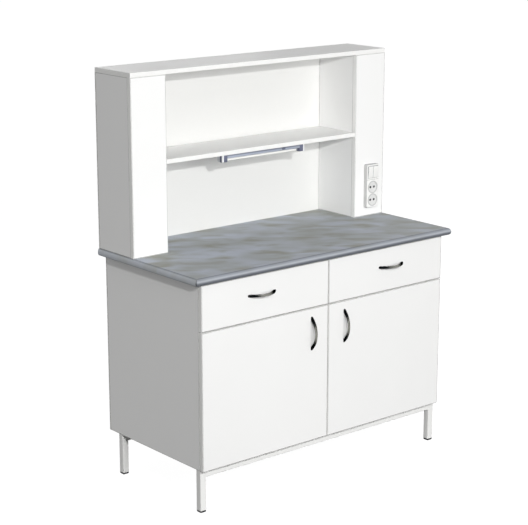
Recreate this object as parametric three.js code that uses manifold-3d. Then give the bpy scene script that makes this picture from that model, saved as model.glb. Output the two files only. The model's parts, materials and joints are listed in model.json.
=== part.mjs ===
// Lab bench with a reagent shelf: a laminate cabinet with two drawers over two doors, on a welded tube
// frame, under a round-edged worktop that carries a shelf between two boxed columns, a lamp and sockets.
// Millimetres. +X to the right, +Y to the back, +Z up. The origin is on the floor, under the worktop.
import * as THREE from "three";
import { mergeVertices } from "three/addons/utils/BufferGeometryUtils.js";
import Module from "manifold-3d";

// Clearance of pieces that move or plug into each other, and how far a cutter runs past a face
const FIT = 0.3;
const THROUGH = 1;

// Boards
const BOARD = 16;
const BACK_SHEET = 4;

// Worktop
const WORKTOP_WIDTH = 1212;
const WORKTOP_DEPTH = 586;
const WORKTOP_THICKNESS = 26;
const WORKTOP_HEIGHT = 850;
const FRONT_NOSE = 12; // how far the rounded edge runs past the flat top
const SIDE_NOSE = 6;

// Cabinet
const SIDE_OVERHANG = 32; // worktop past the cabinet's sides
const CABINET_BOTTOM = 156;
const FRONT_OVERHANG = 20; // worktop past the faces of the doors
const BACK_OVERHANG = 2; // worktop past the cabinet's back
const DRAWER_ROW = 168; // from the worktop down to the middle of the gap over the doors
const REVEAL = 3; // gap between neighbouring fronts
const FRONT_STANDOFF = 2; // gap behind the fronts

// Base frame and feet
const TUBE = 25;
const TUBE_CORNER = 3;
const TUBE_WALL = 1.5;
const RAIL_HEIGHT = 28;
const LEG_INSET = 2; // from the cabinet's side
const REAR_LEG_SETBACK = 54; // from the cabinet's back
const CROSS_RAIL_SPACING = 640;
const FOOT_HEIGHT = 7;
const FOOT_INSET = 0.5; // flange inside the tube's outline
const FOOT_FLANGE = 2;
const GLIDE_TOP = 22;
const GLIDE_BOTTOM = 17;
const PLUG_LENGTH = 30;

// Bow handles
const HANDLE_LENGTH = 126;
const HANDLE_PROJECTION = 28;
const HANDLE_FOOT = 15; // length of each end on the front
const HANDLE_STRAP = 6; // thickness at the middle
const HANDLE_WIDTH = 9;
const HANDLE_EDGE = 1.5; // rounding
const DRAWER_HANDLE_FROM_CENTRE = 310;
const DRAWER_HANDLE_ABOVE_LINE = 94;
const DOOR_HANDLE_FROM_CENTRE = 79;
const DOOR_HANDLE_BELOW_LINE = 95;

// Drawers on roller runners
const SHEET = 1.5;
const DRAWER_BACK_ROOM = 64; // behind the drawer box
const DRAWER_HEADROOM = 32; // over the drawer box
const DRAWER_ABOVE_LINE = 24; // underside of the drawer box
const DRAWER_LEDGE = 12; // carries the bottom
const DRAWER_LIP = 6;
const RUNNER_SPACE = 13; // between cabinet and drawer
const RUNNER_GAP = 1.5; // between runner and drawer side, and over the drawer's track
const RUNNER_LIFT = 2; // runner's floor above the drawer's underside
const RUNNER_LIP = 4;
const ROLLER = 12;
const ROLLER_INSET = 10;
const ROLLER_LIFT = 0.5;

// Concealed hinges
const HINGE_FROM_END = 90;
const CUP_BORE = 35;
const CUP_BORE_DEPTH = 12.5;
const CUP_EDGE = 5; // board left between bore and door edge
const CUP_WALL = 1.2;
const CUP_RIM = 0.8;
const WING_WIDTH = 16;
const WING_REACH = 28;
const WING_THICKNESS = 1.2;
const ARM_HEIGHT = 13;
const ARM_WIDTH = 9.5;
const ARM_SETBACK = 16; // behind the side panel's front edge
const ARM_LENGTH = 46;
const ARM_NOSE = 3; // radius
const NECK_GAP = 1; // between the arm's neck and the side panel
const PIVOT_FROM_PANEL = 2; // inwards of the side panel's inner face
const PIVOT_DEPTH = 3; // inside the door's back face
const PLATE_HEIGHT = 48;
const PLATE_LENGTH = 38;
const PLATE_THICKNESS = 3.5;
const LINK_TIP_FROM_CUP = 12.5; // past the cup's middle
const LINK_TIP_GAP = 0.5; // over the cup's floor
const LINK_HEIGHT = 6;
const LINK_WIDTH = 4;
const LINK_BOW = 6; // rise of its arc over the straight line
const HINGE_PIN = 3.4;

// Upper unit
const UNIT_INSET = 6; // from the worktop's ends
const UNIT_HEIGHT = 650; // on the worktop
const UNIT_DEPTH = 214;
const COLUMN_WIDTH = 150;
const SHELF_HEIGHT = 335; // top face above the worktop
const SHELF_SETBACK = 3;

// Lamp under the shelf
const LAMP_LENGTH = 390;
const LAMP_DEPTH = 33;
const LAMP_SETBACK = 5; // behind the shelf's front edge
const LAMP_HOUSING_HEIGHT = 13;
const LAMP_HOLDER_LENGTH = 22;
const LAMP_CORNER = 4;
const LAMP_TUBE = 12;
const LAMP_TUBE_GAP = 1; // from the tube to the housing above and to the holders' lower edge
const LAMP_SWITCH_FROM_MIDDLE = 94;
const LAMP_SWITCH_WIDTH = 12;
const LAMP_SWITCH_HEIGHT = 7;

// Power block on the right column
const POWER_FROM_SIDE = 70.5; // its middle from the column's outer side
const POWER_ABOVE_WORKTOP = 35;
const POWER_WIDTH = 62;
const POWER_HEIGHT = 170;
const POWER_DEPTH = 18;
const POWER_CORNER = 5;
const SWITCH_PANEL = 60; // height of the part with the rockers
const SEAM = 0.8; // joint line between switches and sockets
const ROCKER_WIDTH = 25;
const ROCKER_HEIGHT = 47;
const SOCKET_SPACING = 50.5;
const SOCKET_RIM = 49;
const SOCKET_RIM_HEIGHT = 1.5;
const SOCKET_WELL = 43;
const SOCKET_DEPTH = 12;
const SOCKET_PIN = 5;
const SOCKET_PIN_SPACING = 19;
const SOCKET_PIN_DEPTH = 3;

// Rockers
const ROCKER_PROUD = 2.5;
const ROCKER_SUNK = 3.5;
const ROCKER_CREST = 1.2;
const ROCKER_TILT = 4; // degrees off the middle at rest
const ROCKER_POCKET = 7;
const ROCKER_GAP = 0.5;

// Finishes
function finish(color, roughness, metalness) {
  return new THREE.MeshStandardMaterial({ color, roughness, metalness });
}
const laminate = finish(0xf2f2f0, 0.45, 0);
const hardboard = finish(0xeeeeea, 0.6, 0);
const marbledLaminate = finish(0x8f979d, 0.35, 0);
const whitePaint = finish(0xf0f0ee, 0.4, 0.1);
const greySteel = finish(0xb9bcc0, 0.4, 0.9);
const nickel = finish(0x8d8f8c, 0.25, 1);
const blackPlastic = finish(0x16171a, 0.55, 0);
const whitePlastic = finish(0xf4f4f2, 0.3, 0);
const lampSilver = finish(0x9aa3b4, 0.35, 0.8);
const tubeGlass = finish(0xfbfbf6, 0.2, 0);

// Places that several pieces share
const worktopUnderside = WORKTOP_HEIGHT - WORKTOP_THICKNESS;
const drawerLine = worktopUnderside - DRAWER_ROW;
const benchBack = (WORKTOP_DEPTH - FRONT_OVERHANG + HANDLE_PROJECTION) / 2;
const benchFront = benchBack - WORKTOP_DEPTH;
const frontFace = benchFront + FRONT_OVERHANG;
const frontBack = frontFace + BOARD;
const carcassFront = frontBack + FRONT_STANDOFF;
const cabinetBack = benchBack - BACK_OVERHANG;
const carcassBack = cabinetBack - BACK_SHEET;
const cabinetSide = WORKTOP_WIDTH / 2 - SIDE_OVERHANG;
const sideInner = cabinetSide - BOARD;
const partitionSide = BOARD / 2;
const frontWidth = cabinetSide - REVEAL / 2;

const wasm = await Module();
wasm.setup();

function solidOf(geometry) {
  const bare = geometry.clone();
  bare.deleteAttribute("normal");
  bare.deleteAttribute("uv");
  const merged = mergeVertices(bare);
  const vertProperties = merged.attributes.position.array;
  const triVerts = new Uint32Array(merged.index.array);
  return new wasm.Manifold(new wasm.Mesh({ numProp: 3, vertProperties, triVerts }));
}

function geometryOf(solid) {
  const mesh = solid.getMesh();
  const geometry = new THREE.BufferGeometry();
  geometry.setAttribute("position", new THREE.BufferAttribute(mesh.vertProperties, 3));
  geometry.setIndex(new THREE.BufferAttribute(mesh.triVerts, 1));
  geometry.computeVertexNormals();
  return geometry;
}

function join(...pieces) {
  return geometryOf(pieces.map(solidOf).reduce((whole, piece) => whole.add(piece)));
}

function cut(body, ...tools) {
  return geometryOf(tools.map(solidOf).reduce((whole, tool) => whole.subtract(tool), solidOf(body)));
}

// A box between two limits on each axis, whose faces lie exactly on them.
function box(x, y, z) {
  const geometry = new THREE.BoxGeometry();
  const corners = geometry.attributes.position;
  for (let i = 0; i < corners.count; i++) {
    const pick = (limits, value) => limits[value < 0 ? 0 : 1];
    corners.setXYZ(i, pick(x, corners.getX(i)), pick(y, corners.getY(i)), pick(z, corners.getZ(i)));
  }
  return geometry;
}

const around = (middle, size) => [middle - size / 2, middle + size / 2];

function extrude(shape, depth, curveSegments = 6) {
  return new THREE.ExtrudeGeometry(shape, { depth, curveSegments, bevelEnabled: false });
}

// A profile drawn on Y and Z, drawn out along X from a start.
function alongX(shape, start, length, curveSegments) {
  const cyclic = new THREE.Matrix4().makeBasis(
    new THREE.Vector3(0, 1, 0),
    new THREE.Vector3(0, 0, 1),
    new THREE.Vector3(1, 0, 0),
  );
  return extrude(shape, length, curveSegments).applyMatrix4(cyclic).translate(start, 0, 0);
}

// A profile drawn on X and Z, drawn out along Y up to an end.
function alongY(shape, end, length, curveSegments) {
  return extrude(shape, length, curveSegments)
    .rotateX(Math.PI / 2)
    .translate(0, end, 0);
}

// A round bar along an axis, between two limits on it.
function bar(axis, diameter, limits, sides = 20) {
  const length = limits[1] - limits[0];
  const geometry = new THREE.CylinderGeometry(diameter / 2, diameter / 2, length, sides);
  if (axis === "x") geometry.rotateZ(Math.PI / 2).translate((limits[0] + limits[1]) / 2, 0, 0);
  if (axis === "y") geometry.translate(0, (limits[0] + limits[1]) / 2, 0);
  if (axis === "z") geometry.rotateX(Math.PI / 2).translate(0, 0, (limits[0] + limits[1]) / 2);
  return geometry;
}

function polygon(...points) {
  return new THREE.Shape(points.map(([x, y]) => new THREE.Vector2(x, y)));
}

function roundedRectangle(x, y, radius) {
  const shape = new THREE.Shape();
  shape.moveTo(x[0] + radius, y[0]);
  shape.lineTo(x[1] - radius, y[0]);
  shape.absarc(x[1] - radius, y[0] + radius, radius, -Math.PI / 2, 0);
  shape.absarc(x[1] - radius, y[1] - radius, radius, 0, Math.PI / 2);
  shape.absarc(x[0] + radius, y[1] - radius, radius, Math.PI / 2, Math.PI);
  shape.absarc(x[0] + radius, y[0] + radius, radius, Math.PI, 1.5 * Math.PI);
  return shape;
}

function place(parent, name, geometry, material, position = [0, 0, 0]) {
  const mesh = new THREE.Mesh(geometry, material);
  mesh.name = name;
  mesh.position.set(...position);
  parent.add(mesh);
  return mesh;
}

const bench = new THREE.Group();

// The left half is drawn from the cabinet's outer side inwards, and the right half is its mirror image.
const HANDS = [
  { hand: "left", sign: -1 },
  { hand: "right", sign: 1 },
];

function handedGroup(sign, height) {
  const group = new THREE.Group();
  group.position.set(sign * cabinetSide, frontFace, height);
  group.scale.x = -sign;
  bench.add(group);
  return group;
}

// Base frame: four legs, a front and a rear rail, and two cross rails set in from the sides, welded together
function baseFrame() {
  const legX = cabinetSide - LEG_INSET - TUBE / 2;
  const frontY = carcassFront + TUBE / 2;
  const rearY = cabinetBack - REAR_LEG_SETBACK - TUBE / 2;
  const socketWidth = TUBE - 2 * TUBE_WALL;
  const socketTop = FOOT_HEIGHT + PLUG_LENGTH + FIT;
  const railHeights = [CABINET_BOTTOM - RAIL_HEIGHT, CABINET_BOTTOM];
  const tubes = [];
  const sockets = [];
  const legSection = roundedRectangle(around(0, TUBE), around(0, TUBE), TUBE_CORNER);
  for (const y of [frontY, rearY]) {
    const railSection = roundedRectangle(around(y, TUBE), railHeights, TUBE_CORNER);
    tubes.push(alongX(railSection, -legX, 2 * legX, 3));
    for (const x of [-legX, legX]) {
      tubes.push(extrude(legSection, CABINET_BOTTOM - FOOT_HEIGHT, 3).translate(x, y, FOOT_HEIGHT));
      sockets.push(box(around(x, socketWidth), around(y, socketWidth), [0, socketTop]));
      const corner = `${y === frontY ? "front" : "rear"}_${x < 0 ? "left" : "right"}`;
      place(bench, `${corner}_foot`, foot(), blackPlastic, [x, y, 0]);
    }
  }
  for (const x of around(0, CROSS_RAIL_SPACING)) {
    const section = roundedRectangle(around(x, TUBE), railHeights, TUBE_CORNER);
    tubes.push(alongY(section, rearY, rearY - frontY, 3));
  }
  place(bench, "base_frame", cut(join(...tubes), ...sockets), whitePaint);
}

// Foot: a plug for the tube, a flange under the leg and a tapered glide
function foot() {
  const plugWidth = TUBE - 2 * TUBE_WALL - 2 * FIT;
  const glideHeight = FOOT_HEIGHT - FOOT_FLANGE;
  const glide = new THREE.CylinderGeometry(GLIDE_TOP / 2, GLIDE_BOTTOM / 2, glideHeight, 24);
  const flangeWidth = TUBE - 2 * FOOT_INSET;
  const flange = roundedRectangle(around(0, flangeWidth), around(0, flangeWidth), TUBE_CORNER);
  const plugHeights = [FOOT_HEIGHT - FOOT_FLANGE / 2, FOOT_HEIGHT + PLUG_LENGTH];
  return join(
    extrude(flange, FOOT_FLANGE, 3).translate(0, 0, glideHeight),
    glide.rotateX(Math.PI / 2).translate(0, 0, glideHeight / 2),
    box(around(0, plugWidth), around(0, plugWidth), plugHeights),
  );
}

// Carcass: sides, bottom, partition and back sheet
function carcass() {
  const depth = [carcassFront, carcassBack];
  const heights = [CABINET_BOTTOM, worktopUnderside];
  const aboveBottom = [CABINET_BOTTOM + BOARD, worktopUnderside];
  place(bench, "left_side_panel", box([-cabinetSide, -sideInner], depth, heights), laminate);
  place(bench, "right_side_panel", box([sideInner, cabinetSide], depth, heights), laminate);
  place(bench, "bottom_panel", box([-sideInner, sideInner], depth, [heights[0], aboveBottom[0]]), laminate);
  place(bench, "centre_partition", box([-partitionSide, partitionSide], depth, aboveBottom), laminate);
  const sheet = box([-cabinetSide, cabinetSide], [carcassBack, cabinetBack], heights);
  place(bench, "cabinet_back", sheet, hardboard);
}

// Worktop: two profiles with half-ellipse noses, crossed, so that the noses meet in mitred corners
function worktop() {
  const middle = WORKTOP_THICKNESS / 2;
  const side = WORKTOP_WIDTH / 2 - SIDE_NOSE;
  const front = benchFront + FRONT_NOSE;
  const depthProfile = new THREE.Shape();
  depthProfile.moveTo(benchBack, 0);
  depthProfile.lineTo(benchBack, WORKTOP_THICKNESS);
  depthProfile.lineTo(front, WORKTOP_THICKNESS);
  depthProfile.absellipse(front, middle, FRONT_NOSE, middle, Math.PI / 2, 1.5 * Math.PI);
  const widthProfile = new THREE.Shape();
  widthProfile.moveTo(-side, 0);
  widthProfile.absellipse(side, middle, SIDE_NOSE, middle, -Math.PI / 2, Math.PI / 2);
  widthProfile.absellipse(-side, middle, SIDE_NOSE, middle, Math.PI / 2, 1.5 * Math.PI);
  const across = alongX(depthProfile, -WORKTOP_WIDTH / 2, WORKTOP_WIDTH, 12);
  const back = alongY(widthProfile, benchBack, WORKTOP_DEPTH, 12);
  const slab = geometryOf(solidOf(across).intersect(solidOf(back)));
  place(bench, "worktop", slab, marbledLaminate, [0, 0, worktopUnderside]);
}

// Bow handle along X on a face at y = 0: the space between a long flat arc and a shorter one under it
function handle() {
  const arc = (chord, rise) => {
    const radius = (chord * chord) / (8 * rise) + rise / 2;
    return { radius, centre: radius - rise, half: Math.asin(chord / 2 / radius) };
  };
  const outer = arc(HANDLE_LENGTH, HANDLE_PROJECTION);
  const inner = arc(HANDLE_LENGTH - 2 * HANDLE_FOOT, HANDLE_PROJECTION - HANDLE_STRAP);
  const up = Math.PI / 2;
  const shape = new THREE.Shape();
  shape.absarc(0, -outer.centre, outer.radius, up - outer.half, up + outer.half);
  shape.absarc(0, -inner.centre, inner.radius, up + inner.half, up - inner.half, true);
  const bow = new THREE.ExtrudeGeometry(shape, {
    depth: HANDLE_WIDTH - 2 * HANDLE_EDGE,
    curveSegments: 14,
    bevelThickness: HANDLE_EDGE,
    bevelSize: HANDLE_EDGE,
    bevelOffset: -HANDLE_EDGE,
    bevelSegments: 2,
  });
  return bow.translate(0, 0, HANDLE_EDGE - HANDLE_WIDTH / 2).rotateX(Math.PI);
}

// Drawer boxes fill their cells but for the room around them, and their tracks lie on the runners' rollers.
const drawerLength = carcassBack - frontBack - DRAWER_BACK_ROOM;
const drawerSideHeight = DRAWER_ROW - DRAWER_ABOVE_LINE - DRAWER_HEADROOM;
const trackHeight = RUNNER_LIFT + ROLLER_LIFT + ROLLER + FIT;
const trackWidth = RUNNER_SPACE - SHEET - RUNNER_GAP;

// Drawer: front, handle, two sheet sides with their tracks and rear rollers, back and bottom
function drawer({ hand, sign }) {
  const group = handedGroup(sign, drawerLine);
  const cell = [BOARD, cabinetSide - partitionSide];
  const walls = [cell[0] + RUNNER_SPACE, cell[1] - RUNNER_SPACE];
  const inside = [walls[0] + SHEET, walls[1] - SHEET];
  const back = BOARD + drawerLength;
  const floor = DRAWER_ABOVE_LINE + SHEET;
  const sideTop = DRAWER_ABOVE_LINE + drawerSideHeight;
  const frontTop = DRAWER_ROW - REVEAL;
  const name = `${hand}_drawer`;
  place(group, `${name}_front`, box([0, frontWidth], [0, BOARD], [REVEAL / 2, frontTop]), laminate);
  const handleX = cabinetSide - DRAWER_HANDLE_FROM_CENTRE;
  place(group, `${name}_handle`, handle(), nickel, [handleX, 0, DRAWER_HANDLE_ABOVE_LINE]);
  place(group, `${name}_bottom`, box(inside, [BOARD, back], [floor, floor + BOARD]), laminate);
  place(group, `${name}_back`, box(inside, [back - BOARD, back], [floor + BOARD, sideTop]), laminate);
  for (const [which, end, outwards] of [
    ["outer", 0, -1],
    ["inner", 1, 1],
  ]) {
    const sidePlace = [walls[end], BOARD, DRAWER_ABOVE_LINE];
    const side = place(group, `${name}_${which}_side`, drawerSide(), greySteel, sidePlace);
    side.scale.x = outwards;
    const runnerPlace = [cell[end], BOARD + FRONT_STANDOFF, DRAWER_ABOVE_LINE + RUNNER_LIFT];
    const runner = place(group, `${name}_${which}_runner`, cabinetRunner(), greySteel, runnerPlace);
    runner.scale.x = -outwards;
  }
}

// Drawer side from its outer face, +X towards the cabinet: wall, ledge for the bottom, track and lip
function drawerSide() {
  const top = drawerSideHeight;
  const profile = polygon(
    [-DRAWER_LEDGE, 0],
    [0, 0],
    [0, trackHeight],
    [trackWidth, trackHeight],
    [trackWidth, trackHeight + SHEET],
    [0, trackHeight + SHEET],
    [0, top - SHEET],
    [DRAWER_LIP, top - SHEET],
    [DRAWER_LIP, top],
    [-SHEET, top],
    [-SHEET, SHEET],
    [-DRAWER_LEDGE, SHEET],
  );
  const roller = bar("x", ROLLER, [-SHEET / 2, trackWidth]);
  roller.translate(0, drawerLength - ROLLER_INSET, RUNNER_LIFT + FIT + ROLLER / 2);
  return join(alongY(profile, drawerLength, drawerLength), roller);
}

// Cabinet runner from the board that carries it, +X towards the drawer: a channel with a roller at its front
function cabinetRunner() {
  const length = drawerLength - FRONT_STANDOFF;
  const floor = SHEET + trackWidth;
  const top = trackHeight - RUNNER_LIFT + SHEET + RUNNER_GAP;
  const profile = polygon(
    [0, -SHEET],
    [floor, -SHEET],
    [floor, 0],
    [SHEET, 0],
    [SHEET, top],
    [SHEET + RUNNER_LIP, top],
    [SHEET + RUNNER_LIP, top + SHEET],
    [0, top + SHEET],
  );
  const roller = bar("x", ROLLER, [SHEET / 2, floor]);
  roller.translate(0, ROLLER_INSET, ROLLER_LIFT + ROLLER / 2);
  return join(alongY(profile, length, length), roller);
}

// The hinges' plan is drawn from the door's outer front corner: inwards, then backwards.
const cupX = CUP_EDGE + CUP_BORE / 2;
const cupFloor = BOARD - CUP_BORE_DEPTH + FIT + CUP_WALL;
const armPivot = [BOARD + PIVOT_FROM_PANEL, BOARD - PIVOT_DEPTH];
const linkTip = [cupX + LINK_TIP_FROM_CUP, cupFloor + LINK_TIP_GAP + LINK_WIDTH / 2];

// Door: panel bored for its hinge cups, and an upright handle
function door({ hand, sign }) {
  const group = handedGroup(sign, CABINET_BOTTOM);
  const height = drawerLine - REVEAL / 2 - CABINET_BOTTOM;
  const hinges = { lower: HINGE_FROM_END, upper: height - HINGE_FROM_END };
  const bores = Object.values(hinges).map((z) =>
    bar("y", CUP_BORE, [BOARD - CUP_BORE_DEPTH, BOARD + THROUGH], 32).translate(cupX, 0, z),
  );
  const panel = cut(box([0, frontWidth], [0, BOARD], [0, height]), ...bores);
  place(group, `${hand}_door`, panel, laminate);
  const handleX = cabinetSide - DOOR_HANDLE_FROM_CENTRE;
  const handleZ = drawerLine - DOOR_HANDLE_BELOW_LINE - CABINET_BOTTOM;
  const bow = place(group, `${hand}_door_handle`, handle(), nickel, [handleX, 0, handleZ]);
  bow.rotation.y = Math.PI / 2;
  for (const [level, z] of Object.entries(hinges)) {
    const name = `${hand}_${level}_hinge`;
    place(group, `${name}_cup`, hingeCup(), nickel, [cupX, BOARD, z]);
    place(group, `${name}_arm`, hingeArm(), nickel, [0, 0, z]);
    place(group, `${name}_link`, hingeLink(), nickel, [...armPivot, z]);
  }
}

// Hinge cup from the middle of its mouth on the door's back: a drawn cup with a wing above and below
function hingeCup() {
  const outside = CUP_BORE / 2 - FIT;
  const inside = outside - CUP_WALL;
  const depth = CUP_BORE_DEPTH - FIT;
  const profile = [
    [0, -depth],
    [outside, -depth],
    [outside, CUP_RIM],
    [inside, CUP_RIM],
    [inside, CUP_WALL - depth],
    [0, CUP_WALL - depth],
  ];
  const cup = new THREE.LatheGeometry(
    profile.map(([x, y]) => new THREE.Vector2(x, y)),
    24,
  );
  const wing = (z) => box(around(0, WING_WIDTH), [0, WING_THICKNESS], z);
  return join(cup, wing([-WING_REACH, -inside]), wing([inside, WING_REACH]));
}

// Hinge arm: a plate on the side panel, a straight arm and a forked nose that dips into the cup
function hingeArm() {
  const [pivotX, pivotY] = armPivot;
  const heights = around(0, ARM_HEIGHT);
  const armX = [BOARD + PLATE_THICKNESS, BOARD + PLATE_THICKNESS + ARM_WIDTH];
  const neckX = BOARD + NECK_GAP;
  const panelFront = carcassFront - frontFace;
  const armY = [panelFront + ARM_SETBACK, panelFront + ARM_SETBACK + ARM_LENGTH];
  const slant = ARM_NOSE * Math.SQRT1_2;
  const neck = new THREE.Shape();
  neck.moveTo(pivotX - slant, pivotY + slant);
  neck.lineTo(pivotX + slant, pivotY - slant);
  neck.quadraticCurveTo(armX[1], pivotY + ARM_NOSE, armX[1], armY[0] + THROUGH);
  neck.lineTo(neckX, armY[0] + THROUGH);
  neck.lineTo(neckX, panelFront);
  const body = join(
    extrude(neck, ARM_HEIGHT).translate(0, 0, heights[0]),
    bar("z", 2 * ARM_NOSE, heights, 16).translate(pivotX, pivotY, 0),
    box([armX[0] - THROUGH, armX[1]], armY, heights),
    box([BOARD, armX[0]], around((armY[0] + armY[1]) / 2, PLATE_LENGTH), around(0, PLATE_HEIGHT)),
  );
  const fork = box([0, armX[1] + THROUGH], [0, armY[0] - 2 * ARM_NOSE], around(0, LINK_HEIGHT + 2 * FIT));
  return join(cut(body, fork), bar("z", HINGE_PIN, heights, 12).translate(pivotX, pivotY, 0));
}

// Hinge link from its eye on the arm's pin: an arched bar whose far end lies in the cup
function hingeLink() {
  const end = new THREE.Vector2(linkTip[0] - armPivot[0], linkTip[1] - armPivot[1]);
  const chord = end.length();
  const radius = (chord * chord) / (8 * LINK_BOW) + LINK_BOW / 2;
  const half = Math.asin(chord / 2 / radius);
  const band = new THREE.Shape();
  band.absarc(0, 0, radius + LINK_WIDTH / 2, Math.PI / 2 - half, Math.PI / 2 + half);
  band.absarc(0, 0, radius - LINK_WIDTH / 2, Math.PI / 2 + half, Math.PI / 2 - half, true);
  const heights = around(0, LINK_HEIGHT);
  const arch = extrude(band, LINK_HEIGHT, 8).translate(chord / 2, LINK_BOW - radius, heights[0]);
  arch.rotateZ(end.angle());
  const eye = bar("z", 2 * ARM_NOSE, heights, 16);
  const tip = bar("z", LINK_WIDTH, heights, 12).translate(end.x, end.y, 0);
  const bore = bar("z", HINGE_PIN + 2 * FIT, [-LINK_HEIGHT, LINK_HEIGHT], 12);
  return cut(join(arch, eye, tip), bore);
}

// Upper unit: top board, back sheet, reagent shelf and two boxed columns
const unitFront = benchBack - UNIT_DEPTH;
const unitSheet = benchBack - BACK_SHEET;
const unitTop = WORKTOP_HEIGHT + UNIT_HEIGHT;
const columnTop = unitTop - BOARD;
const unitSide = WORKTOP_WIDTH / 2 - UNIT_INSET;
const columnInner = unitSide - COLUMN_WIDTH;
const shelfTop = WORKTOP_HEIGHT + SHELF_HEIGHT;
const shelfBottom = shelfTop - BOARD;
const shelfFront = unitFront + SHELF_SETBACK;

function upperUnit() {
  const heights = [WORKTOP_HEIGHT, columnTop];
  const depth = [unitFront + BOARD, unitSheet];
  const whole = [-unitSide, unitSide];
  place(bench, "unit_top", box(whole, [unitFront, benchBack], [columnTop, unitTop]), laminate);
  place(bench, "unit_back", box(whole, [unitSheet, benchBack], heights), hardboard);
  const bay = [-columnInner, columnInner];
  const shelf = box(bay, [shelfFront, unitSheet], [shelfBottom, shelfTop]);
  place(bench, "reagent_shelf", shelf, laminate);
  for (const { hand, sign } of HANDS) {
    const between = (a, b) => [sign * a, sign * b].sort((low, high) => low - high);
    const column = `${hand}_column`;
    const front = box(between(columnInner, unitSide), [unitFront, depth[0]], heights);
    place(bench, `${column}_front`, front, laminate);
    place(bench, `${column}_outer_side`, box(between(unitSide - BOARD, unitSide), depth, heights), laminate);
    const inner = box(between(columnInner, columnInner + BOARD), depth, heights);
    place(bench, `${column}_inner_side`, inner, laminate);
  }
}

// Rocker along X that tilts about X, from the face that it stands in: a shallow ridge in front, flat behind
function rocker(width, height) {
  const half = height / 2;
  const profile = polygon(
    [-ROCKER_PROUD, -half],
    [ROCKER_SUNK, -half],
    [ROCKER_SUNK, half],
    [-ROCKER_PROUD, half],
    [-ROCKER_PROUD - ROCKER_CREST, 0],
  );
  return alongX(profile, -width / 2, width);
}

const rockerTilt = THREE.MathUtils.degToRad(ROCKER_TILT);
const rockerRoom = 2 * ROCKER_GAP; // clearance over a rocker's width or height

// Lamp from the middle of its top front edge: housing, two holders, tube and switch
function lamp() {
  const group = new THREE.Group();
  group.position.set(0, shelfFront + LAMP_SETBACK, shelfBottom);
  bench.add(group);
  const holderStart = LAMP_LENGTH / 2 - LAMP_HOLDER_LENGTH;
  const tubeTop = LAMP_HOUSING_HEIGHT + LAMP_TUBE_GAP;
  const holderHeight = tubeTop + LAMP_TUBE + LAMP_TUBE_GAP;
  const hanging = (height) => {
    const shape = new THREE.Shape();
    shape.moveTo(0, 0);
    shape.absarc(LAMP_CORNER, LAMP_CORNER - height, LAMP_CORNER, Math.PI, 1.5 * Math.PI);
    shape.absarc(LAMP_DEPTH - LAMP_CORNER, LAMP_CORNER - height, LAMP_CORNER, -Math.PI / 2, 0);
    shape.lineTo(LAMP_DEPTH, 0);
    return shape;
  };
  const holder = (start) => alongX(hanging(holderHeight), start, LAMP_HOLDER_LENGTH);
  place(group, "lamp_left_holder", holder(-LAMP_LENGTH / 2), whitePlastic);
  place(group, "lamp_right_holder", holder(holderStart), whitePlastic);
  const switchZ = -LAMP_HOUSING_HEIGHT / 2;
  const pocket = box(
    around(LAMP_SWITCH_FROM_MIDDLE, LAMP_SWITCH_WIDTH + rockerRoom),
    [-THROUGH, ROCKER_POCKET],
    around(switchZ, LAMP_SWITCH_HEIGHT + rockerRoom),
  );
  const housing = alongX(hanging(LAMP_HOUSING_HEIGHT), -holderStart, 2 * holderStart);
  place(group, "lamp_housing", cut(housing, pocket), lampSilver);
  const tube = bar("x", LAMP_TUBE, around(0, 2 * holderStart - 2 * FIT), 24);
  place(group, "lamp_tube", tube, tubeGlass, [0, LAMP_DEPTH / 2, -tubeTop - LAMP_TUBE / 2]);
  const lever = place(group, "lamp_switch", rocker(LAMP_SWITCH_WIDTH, LAMP_SWITCH_HEIGHT), blackPlastic);
  lever.position.set(LAMP_SWITCH_FROM_MIDDLE, 0, switchZ);
  lever.rotation.x = rockerTilt;
}

// Power block from the middle of its lower back edge: housing with socket wells, and two rockers
function powerBlock() {
  const group = new THREE.Group();
  group.position.set(unitSide - POWER_FROM_SIDE, unitFront, WORKTOP_HEIGHT + POWER_ABOVE_WORKTOP);
  bench.add(group);
  const face = -POWER_DEPTH;
  const seamZ = POWER_HEIGHT - SWITCH_PANEL;
  const rockerZ = seamZ + SWITCH_PANEL / 2;
  const outline = roundedRectangle(around(0, POWER_WIDTH), [0, POWER_HEIGHT], POWER_CORNER);
  const pieces = [alongY(outline, 0, POWER_DEPTH, 4)];
  const hollows = [
    box(around(0, POWER_WIDTH + 2 * THROUGH), [face - THROUGH, face + SEAM], around(seamZ, SEAM)),
    box(
      around(0, 2 * ROCKER_WIDTH + ROCKER_GAP + rockerRoom),
      [face - THROUGH, face + ROCKER_POCKET],
      around(rockerZ, ROCKER_HEIGHT + rockerRoom),
    ),
  ];
  for (const z of around(seamZ / 2, SOCKET_SPACING)) {
    const at = (geometry, x = 0) => geometry.translate(x, 0, z);
    pieces.push(at(bar("y", SOCKET_RIM, [face - SOCKET_RIM_HEIGHT, face + THROUGH], 32)));
    const floor = face + SOCKET_DEPTH;
    hollows.push(at(bar("y", SOCKET_WELL, [face - SOCKET_RIM_HEIGHT - THROUGH, floor], 32)));
    for (const x of around(0, SOCKET_PIN_SPACING)) {
      hollows.push(at(bar("y", SOCKET_PIN, [floor - THROUGH, floor + SOCKET_PIN_DEPTH], 12), x));
    }
  }
  place(group, "power_block", cut(join(...pieces), ...hollows), whitePlastic);
  for (const { hand, sign } of HANDS) {
    const piece = place(group, `${hand}_rocker`, rocker(ROCKER_WIDTH, ROCKER_HEIGHT), whitePlastic);
    piece.position.set((sign * (ROCKER_WIDTH + ROCKER_GAP)) / 2, face, rockerZ);
    piece.rotation.x = rockerTilt;
  }
}

baseFrame();
carcass();
worktop();
HANDS.forEach(drawer);
HANDS.forEach(door);
upperUnit();
lamp();
powerBlock();

export default bench;
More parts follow.
